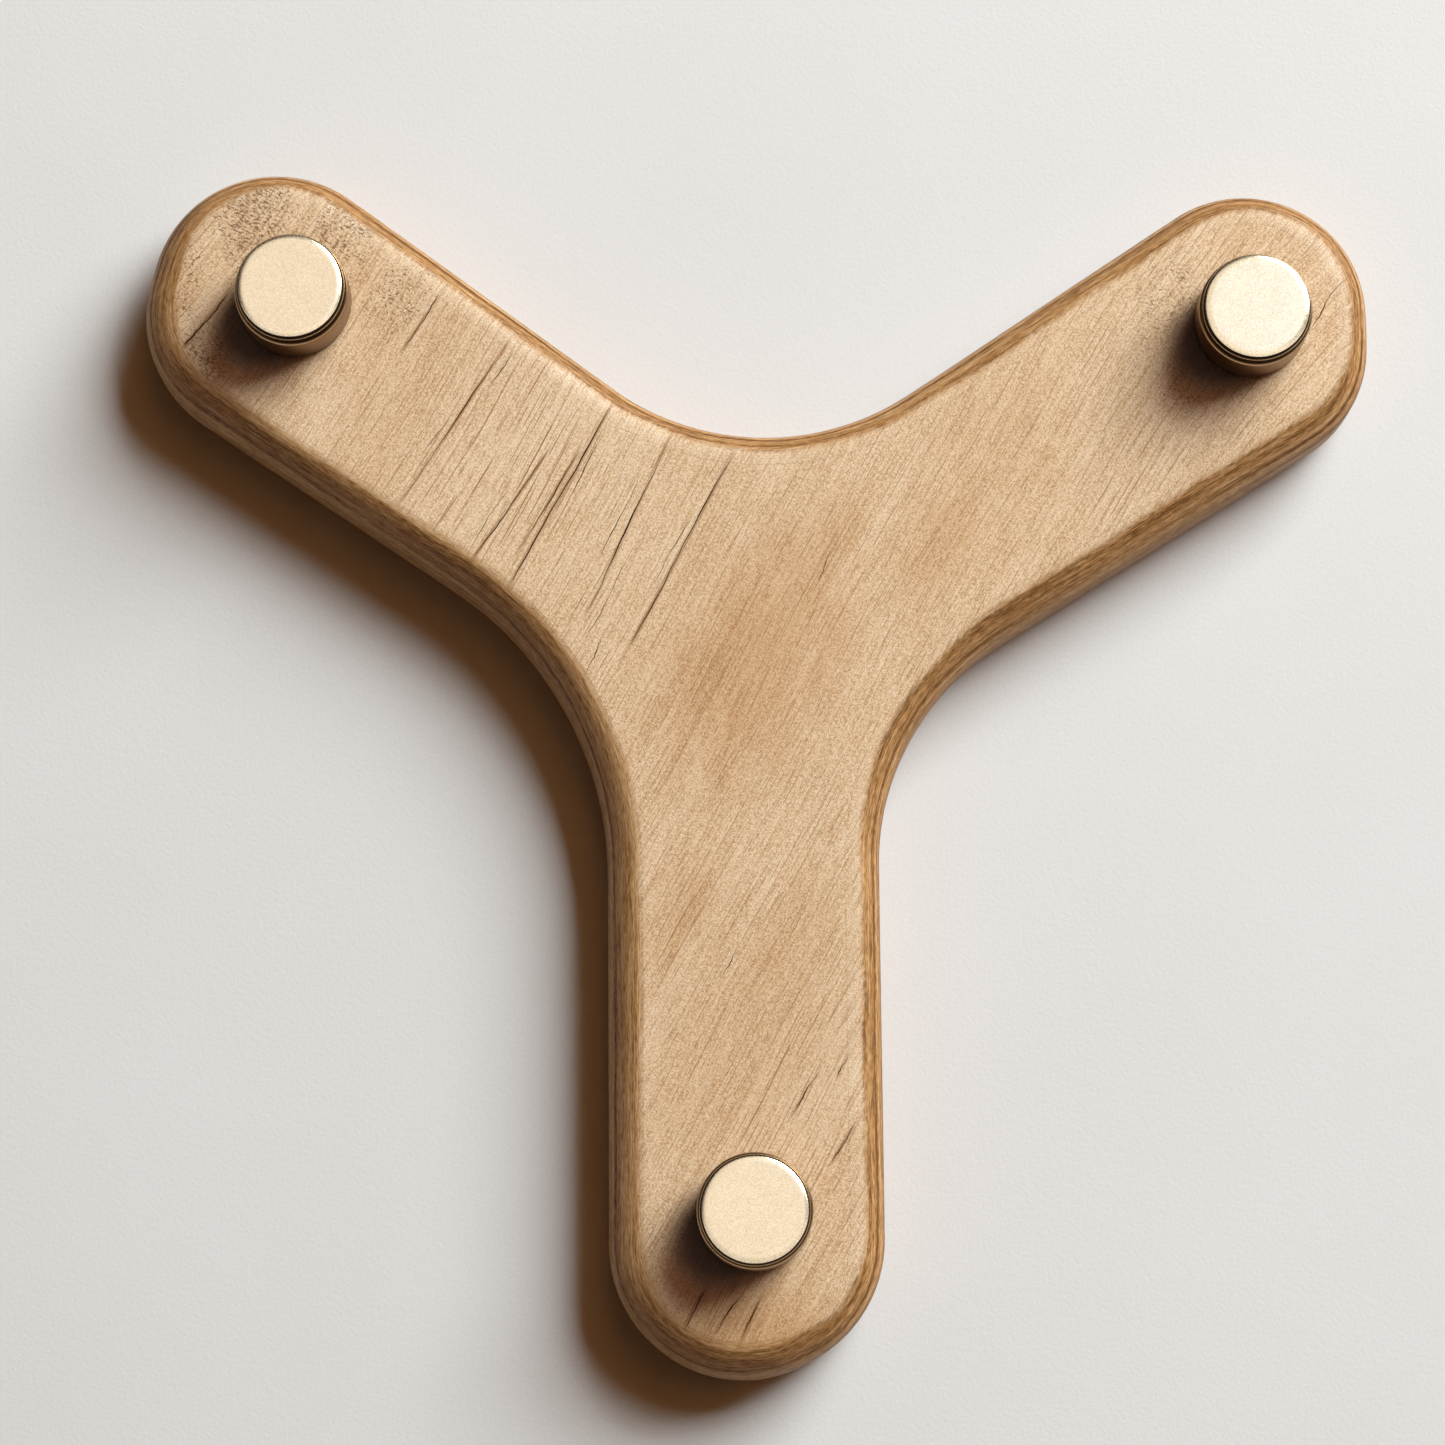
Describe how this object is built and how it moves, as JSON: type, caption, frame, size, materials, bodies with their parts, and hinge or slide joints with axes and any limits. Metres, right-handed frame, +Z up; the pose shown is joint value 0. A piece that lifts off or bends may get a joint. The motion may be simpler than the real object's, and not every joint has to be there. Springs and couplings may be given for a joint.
{
  "type": "boomerang-shaped wall rack",
  "caption": "Three-armed boomerang-shaped wooden wall rack with a brass screw-cap peg on each arm and keyhole hanging plates let into its flat back.",
  "frame": {"origin": "middle of the hub, on the flat back of the board", "axes": "+Z up as it hangs, +X to the right seen from the front, +Y out of the back into the wall, so the front and the pegs face -Y"},
  "size_m": [0.2748, 0.036, 0.2698],
  "materials": {
    "wood": "light oak, oiled to a satin finish, long straight grain at about 60 degrees to the horizontal, with open pores and a few fine checks",
    "brass": "pale champagne brass, satin face, brighter turned edges",
    "stud": "turned brass with an M8 thread",
    "ring": "dark brown nylon washer, matt",
    "screw": "yellow-passivated zinc on steel",
    "plate": "bright zinc on stamped steel"
  },
  "bodies": {
    "rack": {"board": "wood", "left_foot_ring": "ring", "left_peg_barrel": "brass", "left_peg_screw": "screw", "right_foot_ring": "ring", "right_peg_barrel": "brass", "right_peg_screw": "screw", "lower_foot_ring": "ring", "lower_peg_barrel": "brass", "lower_peg_screw": "screw", "left_keyhole_plate": "plate", "left_plate_screw_upper": "screw", "left_plate_screw_lower": "screw", "right_keyhole_plate": "plate", "right_plate_screw_upper": "screw", "right_plate_screw_lower": "screw"},
    "left_ring": {"left_cap_ring": "ring"},
    "left_cap": {"left_peg_cap": "brass", "left_cap_stud": "stud"},
    "right_ring": {"right_cap_ring": "ring"},
    "right_cap": {"right_peg_cap": "brass", "right_cap_stud": "stud"},
    "lower_ring": {"lower_cap_ring": "ring"},
    "lower_cap": {"lower_peg_cap": "brass", "lower_cap_stud": "stud"}
  },
  "joints": [
    {"name": "left_cap_turn", "type": "hinge", "parent": "rack", "child": "left_ring", "pos_m": [-0.1005, -0.02, 0.0777], "axis": [0, -1, 0], "range_deg": [0, 1800]},
    {"name": "left_cap_lift", "type": "slide", "parent": "left_ring", "child": "left_cap", "axis": [0, -1, 0], "range_m": [0, 0.00625]},
    {"name": "right_cap_turn", "type": "hinge", "parent": "rack", "child": "right_ring", "pos_m": [0.1129, -0.02, 0.073], "axis": [0, -1, 0], "range_deg": [0, 1800]},
    {"name": "right_cap_lift", "type": "slide", "parent": "right_ring", "child": "right_cap", "axis": [0, -1, 0], "range_m": [0, 0.00625]},
    {"name": "lower_cap_turn", "type": "hinge", "parent": "rack", "child": "lower_ring", "pos_m": [0.002, -0.02, -0.1254], "axis": [0, -1, 0], "range_deg": [0, 1800]},
    {"name": "lower_cap_lift", "type": "slide", "parent": "lower_ring", "child": "lower_cap", "axis": [0, -1, 0], "range_m": [0, 0.00625]}
  ],
  "couplings": [
    {"joint": "left_cap_lift", "follows": "left_cap_turn", "m_per_rad": 0.00019894},
    {"joint": "right_cap_lift", "follows": "right_cap_turn", "m_per_rad": 0.00019894},
    {"joint": "lower_cap_lift", "follows": "lower_cap_turn", "m_per_rad": 0.00019894}
  ]
}
